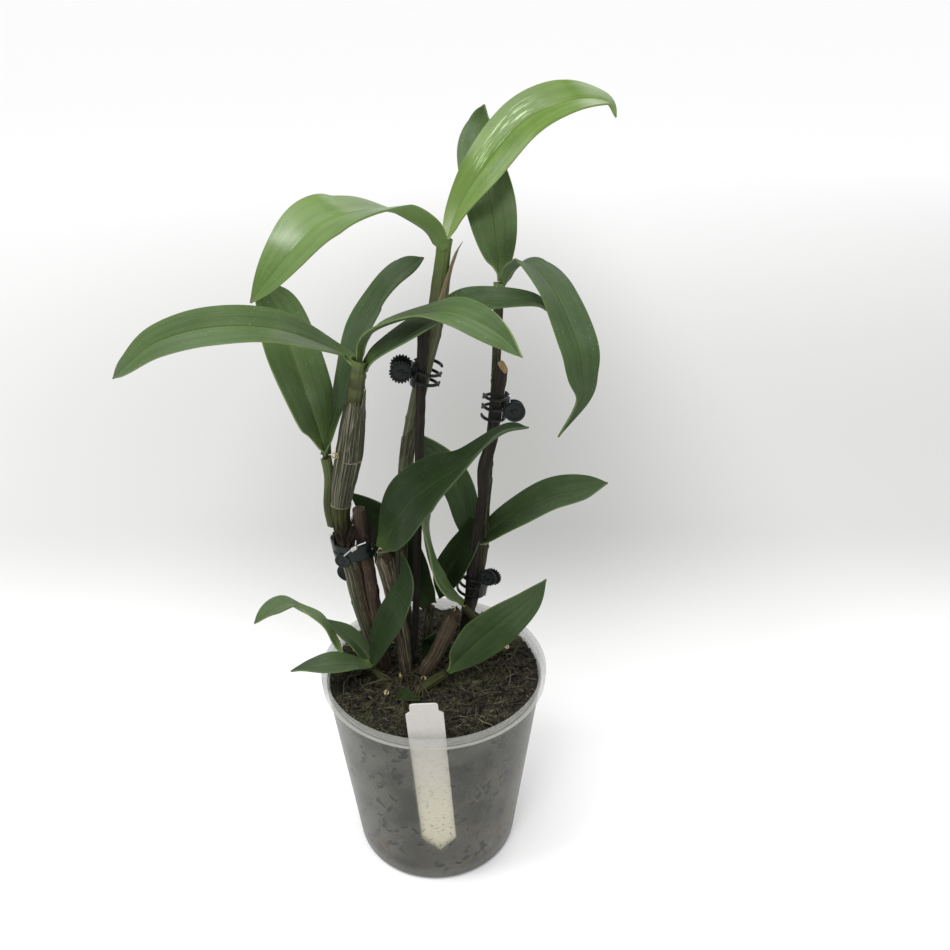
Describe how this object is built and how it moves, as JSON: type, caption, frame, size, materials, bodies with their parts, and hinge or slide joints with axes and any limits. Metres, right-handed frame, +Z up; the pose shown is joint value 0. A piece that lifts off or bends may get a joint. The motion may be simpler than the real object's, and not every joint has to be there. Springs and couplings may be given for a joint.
{
  "type": "potted dendrobium orchid",
  "caption": "Leafy dendrobium orchid out of bloom, its canes tied to wooden stakes by spring clips, growing in bark in a clear tapered nursery pot with a pointed plant label.",
  "frame": {"origin": "on the pot's axis, at the flat middle of its underside, on the surface that the pot stands on", "axes": "+Z up along the pot's axis, -Y towards the front, where the label stands, and +X to the right seen from the front"},
  "size_m": [0.2088, 0.114, 0.3803],
  "materials": {
    "pot": "frosted clear plastic",
    "bark": "damp chipped bark with moss fibres",
    "label": "satin white plastic",
    "cane": "ribbed green cane with dry papery sheaths",
    "old_cane": "dry fibrous brown",
    "shoot": "smooth olive green",
    "stake": "dark stained stick, matt",
    "leaf": "glossy dark green",
    "new_leaf": "glossy light green",
    "clip": "glossy dark plastic",
    "pin": "satin steel"
  },
  "bodies": {
    "plant": {"pot": "pot", "bark": "bark", "label": "label", "cane_left": "cane", "cane_left_side": "cane", "cane_centre": "cane", "cane_right": "cane", "cane_rear": "cane", "cane_old_stub": "old_cane", "cane_old_leaning": "old_cane", "shoot_olive": "shoot", "shoot_front_left": "shoot", "shoot_left_low": "shoot", "shoot_front_right": "shoot", "stake_left": "stake", "stake_centre": "stake", "stake_right": "stake", "clip_left_pin": "pin", "clip_centre_pin": "pin", "clip_right_upper_pin": "pin", "clip_right_lower_pin": "pin", "leaf_centre_right": "new_leaf", "leaf_centre_left": "new_leaf", "leaf_right_upright": "leaf", "leaf_right_hanging": "leaf", "leaf_left_arching": "leaf", "leaf_left_reaching": "leaf", "leaf_left_long": "leaf", "leaf_side_right": "leaf", "leaf_side_left": "leaf", "leaf_stub": "leaf", "leaf_right_inner_up": "leaf", "leaf_right_inner_down": "leaf", "leaf_right_low": "leaf", "leaf_rear": "leaf", "leaf_front_upright": "leaf", "leaf_olive_shoot": "leaf", "leaf_low_right": "leaf", "leaf_low_left_front": "leaf", "leaf_low_left_arching": "leaf", "leaf_low_left_small": "leaf", "leaf_soil_centre": "leaf", "leaf_soil_front": "leaf"},
    "clip_left_front_half": {"clip_left_front": "clip"},
    "clip_left_rear_half": {"clip_left_rear": "clip"},
    "clip_centre_front_half": {"clip_centre_front": "clip"},
    "clip_centre_rear_half": {"clip_centre_rear": "clip"},
    "clip_right_upper_front_half": {"clip_right_upper_front": "clip"},
    "clip_right_upper_rear_half": {"clip_right_upper_rear": "clip"},
    "clip_right_lower_front_half": {"clip_right_lower_front": "clip"},
    "clip_right_lower_rear_half": {"clip_right_lower_rear": "clip"}
  },
  "joints": [
    {"name": "clip_left_open", "type": "hinge", "parent": "plant", "child": "clip_left_front_half", "pos_m": [-0.04687, 0.00249, 0.17886], "axis": [0.119, 0.0496, -0.9917], "range_deg": [0, 10], "stiffness_Nm_per_rad": 0.03},
    {"name": "clip_left_rear_open", "type": "hinge", "parent": "plant", "child": "clip_left_rear_half", "pos_m": [-0.04687, 0.00249, 0.17886], "axis": [0.119, 0.0496, -0.9917], "range_deg": [-10, 0], "stiffness_Nm_per_rad": 0.03},
    {"name": "clip_centre_open", "type": "hinge", "parent": "plant", "child": "clip_centre_front_half", "pos_m": [-0.00717, 0.00916, 0.26379], "axis": [-0.1961, 0, -0.9806], "range_deg": [0, 10], "stiffness_Nm_per_rad": 0.03},
    {"name": "clip_centre_rear_open", "type": "hinge", "parent": "plant", "child": "clip_centre_rear_half", "pos_m": [-0.00717, 0.00916, 0.26379], "axis": [-0.1961, 0, -0.9806], "range_deg": [-10, 0], "stiffness_Nm_per_rad": 0.03},
    {"name": "clip_right_upper_open", "type": "hinge", "parent": "plant", "child": "clip_right_upper_front_half", "pos_m": [0.03596, 0.01428, 0.2449], "axis": [0.0995, 0, 0.995], "range_deg": [0, 10], "stiffness_Nm_per_rad": 0.03},
    {"name": "clip_right_upper_rear_open", "type": "hinge", "parent": "plant", "child": "clip_right_upper_rear_half", "pos_m": [0.03596, 0.01428, 0.2449], "axis": [0.0995, 0, 0.995], "range_deg": [-10, 0], "stiffness_Nm_per_rad": 0.03},
    {"name": "clip_right_lower_open", "type": "hinge", "parent": "plant", "child": "clip_right_lower_front_half", "pos_m": [0.0268, 0.01194, 0.14764], "axis": [0.1961, 0, 0.9806], "range_deg": [0, 10], "stiffness_Nm_per_rad": 0.03},
    {"name": "clip_right_lower_rear_open", "type": "hinge", "parent": "plant", "child": "clip_right_lower_rear_half", "pos_m": [0.0268, 0.01194, 0.14764], "axis": [0.1961, 0, 0.9806], "range_deg": [-10, 0], "stiffness_Nm_per_rad": 0.03}
  ],
  "couplings": [
    {"joint": "clip_left_rear_open", "follows": "clip_left_open", "ratio": -1},
    {"joint": "clip_centre_rear_open", "follows": "clip_centre_open", "ratio": -1},
    {"joint": "clip_right_upper_rear_open", "follows": "clip_right_upper_open", "ratio": -1},
    {"joint": "clip_right_lower_rear_open", "follows": "clip_right_lower_open", "ratio": -1}
  ]
}
